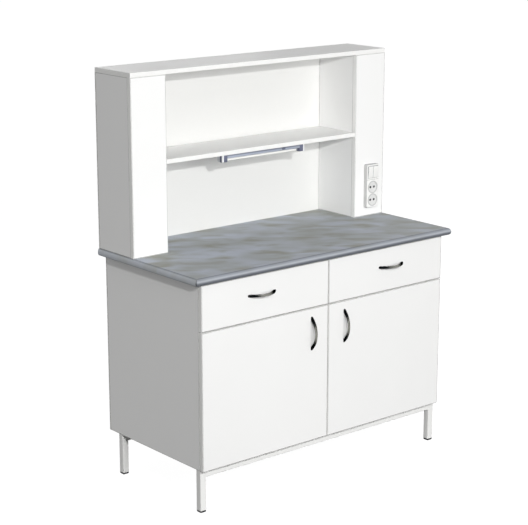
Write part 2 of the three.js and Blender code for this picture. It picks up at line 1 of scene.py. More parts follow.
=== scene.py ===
"""Lab bench with a reagent shelf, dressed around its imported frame.

Metres. +X to the right, +Y to the back, +Z up. Every piece lies at its place in its mesh.
"""

import json
import math

import bmesh
import bpy
from mathutils import Matrix, Vector


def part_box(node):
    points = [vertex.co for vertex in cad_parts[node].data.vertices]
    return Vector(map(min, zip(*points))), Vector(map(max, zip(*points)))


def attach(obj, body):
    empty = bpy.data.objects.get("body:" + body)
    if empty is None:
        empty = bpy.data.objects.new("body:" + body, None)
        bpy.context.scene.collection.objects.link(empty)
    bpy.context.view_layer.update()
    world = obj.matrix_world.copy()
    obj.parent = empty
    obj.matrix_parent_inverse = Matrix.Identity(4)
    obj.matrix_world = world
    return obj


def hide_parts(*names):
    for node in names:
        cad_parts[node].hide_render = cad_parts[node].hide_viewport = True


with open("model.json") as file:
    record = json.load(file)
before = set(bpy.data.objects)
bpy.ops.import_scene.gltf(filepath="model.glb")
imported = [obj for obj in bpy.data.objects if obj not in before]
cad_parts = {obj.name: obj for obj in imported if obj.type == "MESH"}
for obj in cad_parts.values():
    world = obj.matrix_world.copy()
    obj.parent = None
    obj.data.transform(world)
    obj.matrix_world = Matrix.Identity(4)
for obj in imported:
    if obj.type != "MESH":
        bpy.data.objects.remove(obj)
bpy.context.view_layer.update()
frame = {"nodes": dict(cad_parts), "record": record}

# Base frame: four legs, two rails and two cross rails of square steel tube with rounded corners,
# welded together and powder coated white in one piece. The cabinet stands on its rails.
MM = 0.001
nodes = frame["nodes"]
bodies = frame["record"]["behaviour"]["bodies"]
body_of = {node: body for body, members in bodies.items() for node in members}


def linear(hex_colour):
    """An sRGB hex colour as linear red, green, blue and alpha."""
    parts = [int(hex_colour[i : i + 2], 16) / 255 for i in (0, 2, 4)]
    return [c / 12.92 if c <= 0.04045 else ((c + 0.055) / 1.055) ** 2.4 for c in parts] + [1.0]


def add(tree, kind, inputs=(), **settings):
    """Adds a node, fills or links its inputs, and returns its first live output."""
    node = tree.nodes.new(kind)
    for key, value in settings.items():
        setattr(node, key, value)
    for key, value in inputs.items() if isinstance(inputs, dict) else enumerate(inputs):
        if isinstance(value, bpy.types.NodeSocket):
            tree.links.new(value, node.inputs[key])
        elif value is not None:
            node.inputs[key].default_value = value
    return next((output for output in node.outputs if output.enabled), None)


def new_material(name, colour, roughness, metallic=0.0):
    """A material, its tree and shader, and where a point on it lies in metres, to build on."""
    material = bpy.data.materials.new(name)
    material.use_nodes = True
    shader = material.node_tree.nodes["Principled BSDF"]
    shader.inputs["Base Color"].default_value = linear(colour)
    shader.inputs["Roughness"].default_value = roughness
    shader.inputs["Metallic"].default_value = metallic
    place = add(material.node_tree, "ShaderNodeTexCoord").node.outputs["Object"]
    return material, material.node_tree, shader, place


WELD = 0.001 * MM
FLAT = math.radians(0.5)


def merged(node):
    """The CAD node's triangles as one joined shape with whole flat faces."""
    source = nodes[node].data
    shape = bmesh.new()
    corners = [shape.verts.new(vertex.co) for vertex in source.vertices]
    for polygon in source.polygons:
        shape.faces.new([corners[i] for i in polygon.vertices])
    bmesh.ops.remove_doubles(shape, verts=shape.verts, dist=WELD)
    bmesh.ops.dissolve_limit(shape, angle_limit=FLAT, verts=shape.verts, edges=shape.edges)
    return shape


def new_piece(name, shape, *materials):
    """A piece made of a bmesh, at the origin, with its materials."""
    mesh = bpy.data.meshes.new(name)
    shape.to_mesh(mesh)
    shape.free()
    for material in materials:
        mesh.materials.append(material)
    piece = bpy.data.objects.new(name, mesh)
    bpy.context.scene.collection.objects.link(piece)
    return piece


def stand_for(piece, node):
    """The piece shows in place of a CAD node, and rides as the node does."""
    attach(piece, body_of[node])
    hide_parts(node)
    return piece


SHARP = math.radians(35)


def shade_smooth(shape):
    """Shades a shape smooth but for its sharp edges."""
    for face in shape.faces:
        face.smooth = True
    for edge in shape.edges:
        edge.smooth = edge.calc_face_angle(0) < SHARP


def round_edges(shape, radius, segments):
    """Rounds the sharp edges of a shape."""
    edges = [edge for edge in shape.edges if edge.calc_face_angle(0) > SHARP]
    settings = {"offset": radius, "segments": segments, "profile": 0.5, "clamp_overlap": True}
    bmesh.ops.bevel(shape, geom=edges, affect="EDGES", **settings)


def smooth_piece(node, name, *materials, bevel=0.0, shape=None):
    """A CAD node, or a shape in its place, shaded smooth and with its sharp edges bevelled."""
    shape = shape or merged(node)
    if bevel:
        round_edges(shape, bevel, 3)
        bmesh.ops.dissolve_degenerate(shape, edges=shape.edges, dist=WELD)
    shade_smooth(shape)
    return stand_for(new_piece(name, shape, *materials), node)


# Powder coat flows out while it bakes, so it keeps a fine orange peel of about 1 mm, drawn at 3 mm
# to show.
powder_coat, tree, shader, place = new_material("White powder coat on steel", "E6E6E4", 0.42)
peel = add(tree, "ShaderNodeTexNoise", {"Vector": place, "Scale": 1 / (3 * MM), "Detail": 2.0})
bump = add(tree, "ShaderNodeBump", {"Strength": 0.12, "Distance": 0.2 * MM, "Height": peel})
tree.links.new(bump, shader.inputs["Normal"])
cloud = add(tree, "ShaderNodeTexNoise", {"Vector": place, "Scale": 1 / (60 * MM), "Detail": 3.0})
gloss = add(tree, "ShaderNodeMapRange", {"Value": cloud, "To Min": 0.36, "To Max": 0.48})
tree.links.new(gloss, shader.inputs["Roughness"])
smooth_piece("base_frame", "tube_frame", powder_coat)

# Feet: black polyamide plugs with a square sole, injection moulded and pressed into the open leg
# ends. The mould leaves a fine even grain that scuffs lighter where the sole meets the floor. Half
# width and height in mm of a sole's rings and then of its plug's.
FOOT_RINGS = ((11.2, 0.0), (12.1, 0.8), (12.2, 7.0), (10.5, 7.0), (10.5, 37.0))
FOOT_CORNER = 3 * MM
CORNER_STEPS = 5
SCUFF_HEIGHT = 1 * MM


def foot(node):
    """A foot: rounded squares, one above the other, joined by walls and closed at both ends."""
    low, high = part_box(node)
    middle = (low + high) / 2
    shape = bmesh.new()
    rings = []
    for half_width, height in FOOT_RINGS:
        reach = half_width * MM - FOOT_CORNER
        ring = []
        for i in range(4 * CORNER_STEPS):
            quarter, step = divmod(i, CORNER_STEPS)
            angle = math.pi / 2 * (quarter + step / (CORNER_STEPS - 1))
            x = middle.x + (reach if quarter in (0, 3) else -reach) + FOOT_CORNER * math.cos(angle)
            y = middle.y + (reach if quarter in (0, 1) else -reach) + FOOT_CORNER * math.sin(angle)
            ring.append(shape.verts.new((x, y, height * MM)))
        rings.append(ring)
    for lower, upper in zip(rings, rings[1:]):
        for i in range(len(lower)):
            shape.faces.new((lower[i - 1], lower[i], upper[i], upper[i - 1]))
    shape.faces.new(reversed(rings[0]))
    shape.faces.new(rings[-1])
    shade_smooth(shape)
    return stand_for(new_piece(f"{node}_moulded", shape, polyamide), node)


polyamide, tree, shader, place = new_material("Black moulded polyamide", "15161A", 0.5)
shader.inputs["Specular IOR Level"].default_value = 0.25
grain = add(tree, "ShaderNodeTexNoise", {"Vector": place, "Scale": 1 / (0.8 * MM), "Detail": 2.0})
bump = add(tree, "ShaderNodeBump", {"Strength": 0.25, "Distance": 0.1 * MM, "Height": grain})
tree.links.new(bump, shader.inputs["Normal"])
height = add(tree, "ShaderNodeSeparateXYZ", [place]).node.outputs["Z"]
fading = {"Value": height, "From Max": SCUFF_HEIGHT, "To Min": 0.25, "To Max": 0.0}
scuff = add(tree, "ShaderNodeMapRange", fading)
tone = add(
    tree, "ShaderNodeMix", {0: scuff, 6: linear("15161A"), 7: linear("4A4B4E")}, data_type="RGBA"
)
tree.links.new(tone, shader.inputs["Base Color"])
for corner in ("front_left", "front_right", "rear_left", "rear_right"):
    foot(f"{corner}_foot")

# Cabinet carcass: sides, bottom and partition of white melamine faced chipboard, 16 mm thick, sawn
# to size, edged with glued plastic strip on every narrow side, and joined with hidden dowels and
# cams.
EDGE_ROUND = 1.2 * MM
GLUE_LINE = 1.3 * MM


def edged_board(node):
    """A board with film on its wide faces, rounded edging round them and a glue line between."""
    shape = merged(node)
    round_edges(shape, EDGE_ROUND, 2)
    low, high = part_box(node)
    size = high - low
    across = min(range(3), key=lambda axis: size[axis])
    for face in shape.faces:
        face.material_index = 0 if abs(face.normal[across]) > 0.99 else 1
    wide = [face for face in shape.faces if face.material_index == 0]
    inset = {"thickness": GLUE_LINE, "use_boundary": True, "use_even_offset": True}
    for face in bmesh.ops.inset_region(shape, faces=wide, **inset)["faces"]:
        face.material_index = 2
    return stand_for(new_piece(f"{node}_edged", shape, melamine, edging, glue_line), node)


# Melamine film is pressed with a pearl grain: shallow dimples under 1 mm, drawn at 2.5 mm to show,
# under a satin gloss that varies a little from the press.
melamine, tree, shader, place = new_material("White melamine film on chipboard", "E9E9E8", 0.42)
pearl = add(
    tree, "ShaderNodeTexVoronoi", {"Vector": place, "Scale": 1 / (2.5 * MM)}, feature="SMOOTH_F1"
)
bump = add(tree, "ShaderNodeBump", {"Strength": 0.06, "Distance": 0.1 * MM, "Height": pearl})
tree.links.new(bump, shader.inputs["Normal"])
cloud = add(tree, "ShaderNodeTexNoise", {"Vector": place, "Scale": 1 / (180 * MM), "Detail": 3.0})
gloss = add(tree, "ShaderNodeMapRange", {"Value": cloud, "To Min": 0.36, "To Max": 0.5})
tree.links.new(gloss, shader.inputs["Roughness"])
tone = add(
    tree, "ShaderNodeMix", {0: cloud, 6: linear("E8E8E7"), 7: linear("EBEBEA")}, data_type="RGBA"
)
tree.links.new(tone, shader.inputs["Base Color"])

# Edging is smooth extruded plastic, as white as the film and glossier, with faint scraper marks
# along its edge.
edging, tree, shader, place = new_material("White plastic edging", "E8E8E6", 0.35)
chatter = add(tree, "ShaderNodeTexNoise", {"Vector": place, "Scale": 1 / (9 * MM), "Detail": 1.0})
tone = add(
    tree, "ShaderNodeMix", {0: chatter, 6: linear("E5E5E3"), 7: linear("EBEBE9")}, data_type="RGBA"
)
tree.links.new(tone, shader.inputs["Base Color"])
bump = add(tree, "ShaderNodeBump", {"Strength": 0.05, "Distance": 0.2 * MM, "Height": chatter})
tree.links.new(bump, shader.inputs["Normal"])

# Between the film and the edging the glue shows as a thin grey line, drawn 1.3 mm wide to show.
glue_line, tree, shader, place = new_material("Grey glue line of the edging", "8F8F8D", 0.5)
smudge = add(tree, "ShaderNodeTexNoise", {"Vector": place, "Scale": 1 / (30 * MM), "Detail": 2.0})
tone = add(
    tree, "ShaderNodeMix", {0: smudge, 6: linear("848482"), 7: linear("9A9A98")}, data_type="RGBA"
)
tree.links.new(tone, shader.inputs["Base Color"])
for node in ("left_side_panel", "right_side_panel", "bottom_panel", "centre_partition"):
    edged_board(node)

# Back sheets: hard-pressed fibre board, 4 mm thick and white lacquered, behind the cabinet and the
# upper unit. A row of small screws along the rim holds each one.
SHEET_SCREW_PITCH = 165 * MM
SHEET_SCREW_INSET = 8 * MM
SCREW_HEAD = 7 * MM  # diameter
HEAD_HEIGHT = 0.22  # these three are shares of the head's diameter
HEAD_TOP = 0.34
RECESS_WIDTH = 0.16
TURN_SEED = 7
# Lacquer rolled on fibre board looks flat and dull, with a faint texture of pressed fibres.
hardboard, tree, shader, place = new_material("White lacquered fibre board", "D5D5D3", 0.5)
fibre = add(tree, "ShaderNodeTexNoise", {"Vector": place, "Scale": 1 / (4 * MM), "Detail": 4.0})
bump = add(tree, "ShaderNodeBump", {"Strength": 0.05, "Distance": 0.15 * MM, "Height": fibre})
tree.links.new(bump, shader.inputs["Normal"])
tone = add(
    tree, "ShaderNodeMix", {0: fibre, 6: linear("D3D3D1"), 7: linear("D7D7D5")}, data_type="RGBA"
)
tree.links.new(tone, shader.inputs["Base Color"])
for node in ("cabinet_back", "unit_back"):
    nodes[node].material_slots[0].material = hardboard

# Zinc plate is bright but not polished, with a faint blue cast from its passivation.
zinc, tree, shader, place = new_material("Zinc plated steel screw", "B9BDC2", 0.32, 1.0)
stain = add(tree, "ShaderNodeTexNoise", {"Vector": place, "Scale": 1 / (3 * MM), "Detail": 2.0})
tone = add(
    tree, "ShaderNodeMix", {0: stain, 6: linear("A9AEB6"), 7: linear("C6C8CA")}, data_type="RGBA"
)
tree.links.new(tone, shader.inputs["Base Color"])



def geometry_tree(name, inputs):
    """A geometry tree with inputs of given kinds, and those inputs by name."""
    tree = bpy.data.node_groups.new(name, "GeometryNodeTree")
    for given, kind in inputs.items():
        tree.interface.new_socket(given, in_out="INPUT", socket_type=f"NodeSocket{kind}")
    tree.interface.new_socket("Shape", in_out="OUTPUT", socket_type="NodeSocketGeometry")
    return tree, add(tree, "NodeGroupInput").node.outputs


# The screws are one tree: a tapered head with a cross recess on each point, turned at random about
# its axis.
screw_inputs = {
    "Points": "Geometry",
    "Head Diameter": "Float",
    "Head Height": "Float",
    "Recess Width": "Float",
    "Axis": "Vector",
    "Seed": "Int",
    "Finish": "Material",
}
screw_heads, given = geometry_tree("Screw heads on points", screw_inputs)
diameter, head_height = given["Head Diameter"], given["Head Height"]
foot_radius = add(screw_heads, "ShaderNodeMath", [diameter, 0.5], operation="MULTIPLY")
top_radius = add(screw_heads, "ShaderNodeMath", [diameter, HEAD_TOP], operation="MULTIPLY")
head = add(
    screw_heads,
    "GeometryNodeMeshCone",
    {"Vertices": 20, "Radius Top": top_radius, "Radius Bottom": foot_radius, "Depth": head_height},
)
above = add(screw_heads, "ShaderNodeCombineXYZ", {"Z": head_height})
blades = []
for first, second in (("X", "Y"), ("Y", "X")):
    blade_size = add(
        screw_heads, "ShaderNodeCombineXYZ", {
            first: given["Recess Width"], second: foot_radius, "Z": head_height
        }
    )
    blade = add(screw_heads, "GeometryNodeMeshCube", {"Size": blade_size})
    blades.append(
        add(screw_heads, "GeometryNodeTransform", {"Geometry": blade, "Translation": above})
    )
recessed = add(
    screw_heads,
    "GeometryNodeMeshBoolean",
    {"Mesh 1": head, "Mesh 2": blades[0]},
    operation="DIFFERENCE",
    solver="EXACT",
)
screw_heads.links.new(blades[1], recessed.node.inputs["Mesh 2"])
upright = add(screw_heads, "FunctionNodeAlignRotationToVector", {"Vector": given["Axis"]}, axis="Z")
spin = add(
    screw_heads,
    "FunctionNodeRandomValue",
    {3: math.pi / 2, "Seed": given["Seed"]},
    data_type="FLOAT",
)
about = add(screw_heads, "FunctionNodeAxisAngleToRotation", {"Axis": (0, 0, 1), "Angle": spin})
turned = add(
    screw_heads,
    "FunctionNodeRotateRotation",
    {"Rotation": upright, "Rotate By": about},
    rotation_space="LOCAL",
)
placed = add(
    screw_heads,
    "GeometryNodeInstanceOnPoints",
    {"Points": given["Points"], "Instance": recessed, "Rotation": turned},
)
real = add(screw_heads, "GeometryNodeRealizeInstances", [placed])
finished = add(
    screw_heads, "GeometryNodeSetMaterial", {"Geometry": real, "Material": given["Finish"]}
)
add(screw_heads, "NodeGroupOutput", [finished])


def grown(name, points, tree, sizes):
    """A piece that a geometry tree grows on points, turned into a plain mesh."""
    mesh = bpy.data.meshes.new(name)
    mesh.from_pydata(points, [], [])
    piece = bpy.data.objects.new(name, mesh)
    bpy.context.scene.collection.objects.link(piece)
    modifier = piece.modifiers.new("Tree", "NODES")
    modifier.node_group = tree
    sockets = [item for item in tree.interface.items_tree if item.in_out == "INPUT"]
    identifiers = {socket.name: socket.identifier for socket in sockets}
    for size, value in sizes.items():
        modifier[identifiers[size]] = value
    evaluated = piece.evaluated_get(bpy.context.evaluated_depsgraph_get())
    made = bpy.data.meshes.new_from_object(evaluated)
    piece.modifiers.remove(modifier)
    piece.data = made
    made.name = name
    return piece


def screws(name, body, points, axis, head_diameter=SCREW_HEAD):
    """Screw heads on points, whose axis points out of the surface that they sit on."""
    sizes = {
        "Head Diameter": head_diameter,
        "Head Height": HEAD_HEIGHT * head_diameter,
        "Recess Width": RECESS_WIDTH * head_diameter,
        "Axis": axis,
        "Seed": TURN_SEED,
        "Finish": zinc,
    }
    piece = grown(name, points, screw_heads, sizes)
    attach(piece, body)
    return piece


def spread(low, high, pitch):
    """Even places from low to high, about a pitch apart."""
    count = max(1, round((high - low) / pitch))
    return [low + (high - low) * i / count for i in range(count + 1)]


for node in ("cabinet_back", "unit_back"):
    low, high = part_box(node)
    columns = spread(low.x + SHEET_SCREW_INSET, high.x - SHEET_SCREW_INSET, SHEET_SCREW_PITCH)
    rows = spread(low.z + SHEET_SCREW_INSET, high.z - SHEET_SCREW_INSET, SHEET_SCREW_PITCH)
    rim = [(x, high.y, z) for x in columns for z in (rows[0], rows[-1])]
    rim += [(x, high.y, z) for x in (columns[0], columns[-1]) for z in rows[1:-1]]
    screws(f"{node}_screws", "bench", rim, (0, 1, 0))

# Worktop: chipboard under high-pressure laminate with a grey-blue marbled print, bent over the
# front and the ends in one sheet, so that its edges are round. It is screwed to the cabinet from
# below.
FRONT_ROUNDING = 12 * MM
END_ROUNDING = 6 * MM
BEND_LINE = 4.5 * MM
BEND_SHARE = 0.85
# On the bent ends a painted highlight, and on the nose a painted highlight with painted shade
# below:
END_HIGHLIGHT = 0.55
NOSE_LIGHT = 9 * MM  # below the top
NOSE_HIGHLIGHT_SPREAD = 6 * MM  # above and below the light
NOSE_SHADE_FALL = 8 * MM  # from the light to the darkest
NOSE_SHARE = 0.85
PRINT_TURN = math.radians(-33)
worktop_low, worktop_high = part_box("worktop")
marbled, tree, shader, place = new_material("Grey-blue marbled laminate", "A4A8AD", 0.55)
shader.inputs["Specular IOR Level"].default_value = 0.25


def print_layer(shift, length, breadth, distortion):
    """One layer of the print: noise drawn out along a line aslant across the worktop."""
    where = {"Location": shift, "Rotation": (0, 0, PRINT_TURN), "Scale": (length, breadth, breadth)}
    at = add(tree, "ShaderNodeMapping", {"Vector": place, **where}, vector_type="TEXTURE")
    settings = {
        "Vector": at, "Scale": 1.0, "Detail": 2.0, "Roughness": 0.5, "Distortion": distortion
    }
    return add(tree, "ShaderNodeTexNoise", settings)


# Blue-grey and grey clouds, olive-brown patches and fine smears, with the sizes given here.
clouds = print_layer((0, 0, 0), 210 * MM, 120 * MM, 0.3)
patches = print_layer((2, 9, 1), 150 * MM, 70 * MM, 0.4)
smears = print_layer((7, 3, 5), 90 * MM, 30 * MM, 0.2)
blue_share = add(tree, "ShaderNodeMapRange", {"Value": clouds, "From Min": 0.38, "From Max": 0.62})
grey = add(
    tree,
    "ShaderNodeMix",
    {0: blue_share, 6: linear("9DA1A4"), 7: linear("ACB2BD")},
    data_type="RGBA",
)
olive_share = add(
    tree, "ShaderNodeMapRange", {
        "Value": patches, "From Min": 0.44, "From Max": 0.68, "To Max": 0.9
    }
)
patched = add(
    tree, "ShaderNodeMix", {0: olive_share, 6: grey, 7: linear("8C8D83")}, data_type="RGBA"
)
smear_share = add(tree, "ShaderNodeMapRange", {"Value": smears, "To Min": 0.93, "To Max": 1.07})
smeared = add(
    tree,
    "ShaderNodeMix",
    {0: 1.0, 6: patched, 7: smear_share},
    data_type="RGBA",
    blend_type="MULTIPLY",
)
# A thin dark line is drawn where the sheet starts to bend, 4.5 mm wide to show.
axes = add(tree, "ShaderNodeSeparateXYZ", [place]).node.outputs
before_front = add(
    tree, "ShaderNodeMath", [worktop_low.y + FRONT_ROUNDING, axes["Y"]], operation="SUBTRACT"
)
half_length = add(tree, "ShaderNodeMath", [axes["X"]], operation="ABSOLUTE")
past_end = add(
    tree, "ShaderNodeMath", [half_length, worktop_high.x - END_ROUNDING], operation="SUBTRACT"
)
on_nose = add(tree, "ShaderNodeMapRange", {"Value": before_front, "From Max": BEND_LINE})
on_end = add(tree, "ShaderNodeMapRange", {"Value": past_end, "From Max": BEND_LINE})
distances = []
for past, other in ((before_front, on_end), (past_end, on_nose)):
    distance = add(tree, "ShaderNodeMath", [past], operation="ABSOLUTE")
    distances.append(add(tree, "ShaderNodeMath", [distance, other], operation="ADD"))
nearest = add(tree, "ShaderNodeMath", distances, operation="MINIMUM")
fading = {"Value": nearest, "From Max": BEND_LINE, "To Min": BEND_SHARE, "To Max": 0.0}
line_share = add(tree, "ShaderNodeMapRange", fading)
# The bent ends are painted paler, as a painted highlight. On the front's nose the print is
# stretched to plain grey, with a painted highlight along the middle and painted shade below it.
painted_end_share = add(tree, "ShaderNodeMath", [on_end, END_HIGHLIGHT], operation="MULTIPLY")
end_highlighted = add(
    tree, "ShaderNodeMix", {0: painted_end_share, 6: smeared, 7: linear("D4D8DE")}, data_type="RGBA"
)
# The nose's painted highlight is brightest NOSE_LIGHT below the top.
from_middle = add(
    tree, "ShaderNodeMath", [axes["Z"], worktop_high.z - NOSE_LIGHT], operation="SUBTRACT"
)
middle_distance = add(tree, "ShaderNodeMath", [from_middle], operation="ABSOLUTE")
fading = {"Value": middle_distance, "From Max": NOSE_HIGHLIGHT_SPREAD, "To Min": 1.0, "To Max": 0.0}
pale = add(tree, "ShaderNodeMapRange", fading)
nose_highlight_grey = add(
    tree, "ShaderNodeMix", {0: pale, 6: linear("868A91"), 7: linear("A8ACB3")}, data_type="RGBA"
)
nose_share = add(tree, "ShaderNodeMath", [on_nose, NOSE_SHARE], operation="MULTIPLY")
nosed = add(tree, "ShaderNodeMix", {0: nose_share, 6: end_highlighted, 7: nose_highlight_grey}, data_type="RGBA")
# Below the highlight the nose darkens to painted shade.
shade_falling = {"Value": from_middle, "From Max": -NOSE_SHADE_FALL, "To Max": NOSE_SHARE}
below = add(tree, "ShaderNodeMapRange", shade_falling)
nose_shade_share = add(tree, "ShaderNodeMath", [below, on_nose], operation="MULTIPLY")
edged = add(
    tree, "ShaderNodeMix", {0: nose_shade_share, 6: nosed, 7: linear("54585F")}, data_type="RGBA"
)
lined = add(tree, "ShaderNodeMix", {0: line_share, 6: edged, 7: linear("5C6067")}, data_type="RGBA")
tree.links.new(lined, shader.inputs["Base Color"])
gloss = add(tree, "ShaderNodeMapRange", {"Value": smears, "To Min": 0.48, "To Max": 0.62})
tree.links.new(gloss, shader.inputs["Roughness"])
grit = add(tree, "ShaderNodeTexNoise", {"Vector": place, "Scale": 1 / (1.5 * MM), "Detail": 2.0})
bump = add(tree, "ShaderNodeBump", {"Strength": 0.04, "Distance": 0.1 * MM, "Height": grit})
tree.links.new(bump, shader.inputs["Normal"])
smooth_piece("worktop", "worktop_laminated", marbled)

# Drawers: a laminate front on a box with a laminate bottom and back, between sides folded from
# steel sheet. The sides ride on rollers in steel channels that are screwed to the cabinet.
RUNNER_SCREW_HEIGHT = 8 * MM
RUNNER_SCREW_PLACES = (0.12, 0.5, 0.88)
RUNNER_WEB = 1.5 * MM
RUB_SCALE = (1 / (4 * MM), 1 / (120 * MM), 1 / (4 * MM))  # rub marks, drawn out along the travel
# Baked epoxy on sheet steel is pale and even, with rub marks where the box slides.
coated_steel, tree, shader, place = new_material(
    "Light grey epoxy coated sheet steel", "C9CBCC", 0.38
)
peel = add(tree, "ShaderNodeTexNoise", {"Vector": place, "Scale": 1 / (2 * MM), "Detail": 2.0})
bump = add(tree, "ShaderNodeBump", {"Strength": 0.08, "Distance": 0.1 * MM, "Height": peel})
tree.links.new(bump, shader.inputs["Normal"])
long_place = add(tree, "ShaderNodeMapping", {"Vector": place, "Scale": RUB_SCALE})
rub = add(tree, "ShaderNodeTexNoise", {"Vector": long_place, "Scale": 1.0, "Detail": 3.0})
tone = add(
    tree, "ShaderNodeMix", {0: rub, 6: linear("BFC2C4"), 7: linear("D2D3D3")}, data_type="RGBA"
)
tree.links.new(tone, shader.inputs["Base Color"])
for hand in ("left", "right"):
    for board in ("front", "bottom", "back"):
        edged_board(f"{hand}_drawer_{board}")
    for which in ("outer", "inner"):
        smooth_piece(f"{hand}_drawer_{which}_side", f"{hand}_drawer_{which}_wall", coated_steel)
        runner = f"{hand}_drawer_{which}_runner"
        smooth_piece(runner, f"{hand}_drawer_{which}_channel", coated_steel)
        low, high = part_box(runner)
        to_right = (hand == "left") == (which == "outer")
        web = low.x + RUNNER_WEB if to_right else high.x - RUNNER_WEB
        depth = [low.y + (high.y - low.y) * share for share in RUNNER_SCREW_PLACES]
        points = [(web, y, low.z + RUNNER_SCREW_HEIGHT) for y in depth]
        screws(f"{runner}_screws", "bench", points, (1 if to_right else -1, 0, 0))

# Handles: flat bows of die-cast zinc, plated in dark nickel and polished, held by two screws from
# behind the front. Along each bow a painted reflection is drawn: nearly black at the ends and paler
# in the middle.
HANDLE_LENGTH = 126 * MM
HANDLE_PROJECTION = 28 * MM
HANDLE_FOOT = 15 * MM
HANDLE_STRAP = 6 * MM
HANDLE_SECTION = 0.5  # from 1, an oval section, to 0, a square one
HANDLE_ROWS = 26  # from the middle to an end
HANDLE_STEPS = 32  # round the section
HANDLE_SCREW_SPACING = 96 * MM
HANDLE_SCREW_HEAD = 8 * MM
dark_nickel, tree, shader, place = new_material("Dark nickel plate", "2B2E31", 0.22, 1.0)
along = add(tree, "ShaderNodeAttribute", attribute_name="along").node.outputs["Fac"]
# Painted reflection: towards the ends the colour turns nearly black.
painted_end_share = add(
    tree,
    "ShaderNodeMapRange",
    {"Value": along, "From Min": 0.05, "From Max": 0.6},
    interpolation_type="SMOOTHSTEP",
)
tone = add(
    tree,
    "ShaderNodeMix",
    {0: painted_end_share, 6: linear("85857F"), 7: linear("0C0E10")},
    data_type="RGBA",
)
tree.links.new(tone, shader.inputs["Base Color"])
haze = add(tree, "ShaderNodeTexNoise", {"Vector": place, "Scale": 1 / (6 * MM), "Detail": 3.0})
gloss = add(tree, "ShaderNodeMapRange", {"Value": haze, "To Min": 0.18, "To Max": 0.32})
tree.links.new(gloss, shader.inputs["Roughness"])
# The reflection's tint is painted too: white in the middle and dark at the ends.
painted_reflection_tint = add(
    tree,
    "ShaderNodeMix",
    {0: painted_end_share, 6: linear("FFFFFF"), 7: linear("202224")},
    data_type="RGBA",
)
tree.links.new(painted_reflection_tint, shader.inputs["Specular Tint"])

# A bow is the space between two arcs: a grid's length runs along them and its width runs round the
# section.
bow_inputs = {
    "Points": "Geometry",
    "Outer Radius": "Float",
    "Outer Angle": "Float",
    "Inner Radius": "Float",
    "Inner Angle": "Float",
    "Width": "Float",
    "Section": "Float",
    "Finish": "Material",
}
bow, given = geometry_tree("Bow handle", bow_inputs)
grid = add(
    bow,
    "GeometryNodeMeshGrid",
    {
        "Size X": 2.0,
        "Size Y": 2 * math.pi,
        "Vertices X": 2 * HANDLE_ROWS + 1,
        "Vertices Y": HANDLE_STEPS + 1,
    },
)
spot = add(bow, "ShaderNodeSeparateXYZ", [add(bow, "GeometryNodeInputPosition")]).node.outputs
# The last row but one reaches the end of the bow, and the last row closes it.
stretched = add(
    bow, "ShaderNodeMath", [spot["X"], HANDLE_ROWS / (HANDLE_ROWS - 1)], operation="MULTIPLY"
)
run = add(bow, "ShaderNodeClamp", {"Value": stretched, "Min": -1.0, "Max": 1.0})
distance = add(bow, "ShaderNodeMath", [spot["X"]], operation="ABSOLUTE")
is_open = add(bow, "ShaderNodeMath", [distance, 1 - 0.5 / HANDLE_ROWS], operation="LESS_THAN")
arcs = []
for side in ("Outer", "Inner"):
    angle = add(bow, "ShaderNodeMath", [run, given[f"{side} Angle"]], operation="MULTIPLY")
    sine = add(bow, "ShaderNodeMath", [angle], operation="SINE")
    cosine = add(bow, "ShaderNodeMath", [angle], operation="COSINE")
    end_cosine = add(bow, "ShaderNodeMath", [given[f"{side} Angle"]], operation="COSINE")
    rise = add(bow, "ShaderNodeMath", [end_cosine, cosine], operation="SUBTRACT")
    direction = add(bow, "ShaderNodeCombineXYZ", {"X": sine, "Y": rise})
    arcs.append(
        add(
            bow,
            "ShaderNodeVectorMath",
            {0: direction, "Scale": given[f"{side} Radius"]},
            operation="SCALE",
        )
    )
middle = add(bow, "ShaderNodeMix", {0: 0.5, 4: arcs[0], 5: arcs[1]}, data_type="VECTOR")
half = add(bow, "ShaderNodeVectorMath", [arcs[0], middle], operation="SUBTRACT")
section = []
for function in ("COSINE", "SINE"):
    wave = add(bow, "ShaderNodeMath", [spot["Y"]], operation=function)
    size = add(bow, "ShaderNodeMath", [wave], operation="ABSOLUTE")
    rounded = add(bow, "ShaderNodeMath", [size, given["Section"]], operation="POWER")
    sign = add(bow, "ShaderNodeMath", [wave], operation="SIGN")
    signed = add(bow, "ShaderNodeMath", [rounded, sign], operation="MULTIPLY")
    section.append(add(bow, "ShaderNodeMath", [signed, is_open], operation="MULTIPLY"))
outwards = add(bow, "ShaderNodeVectorMath", {0: half, "Scale": section[0]}, operation="SCALE")
half_width = add(bow, "ShaderNodeMath", [given["Width"], 0.5], operation="MULTIPLY")
sideways = add(bow, "ShaderNodeMath", [half_width, section[1]], operation="MULTIPLY")
crosswise = add(bow, "ShaderNodeCombineXYZ", {"Z": sideways})
ring = add(bow, "ShaderNodeVectorMath", [outwards, crosswise], operation="ADD")
position = add(bow, "ShaderNodeVectorMath", [middle, ring], operation="ADD")
reach = add(bow, "ShaderNodeMath", [run], operation="ABSOLUTE")
marked = add(
    bow,
    "GeometryNodeStoreNamedAttribute",
    {"Geometry": grid, "Name": "along", "Value": reach},
    data_type="FLOAT",
)
bent = add(bow, "GeometryNodeSetPosition", {"Geometry": marked, "Position": position})
closed = add(bow, "GeometryNodeMergeByDistance", {"Geometry": bent, "Distance": 0.01 * MM})
smooth = add(bow, "GeometryNodeSetShadeSmooth", {"Geometry": closed})
real = add(bow, "GeometryNodeRealizeInstances", [smooth])
finished = add(bow, "GeometryNodeSetMaterial", {"Geometry": real, "Material": given["Finish"]})
add(bow, "NodeGroupOutput", [finished])


def arc(chord, rise):
    """Radius and half angle of the arc over a chord."""
    radius = chord * chord / (8 * rise) + rise / 2
    return radius, math.asin(chord / 2 / radius)


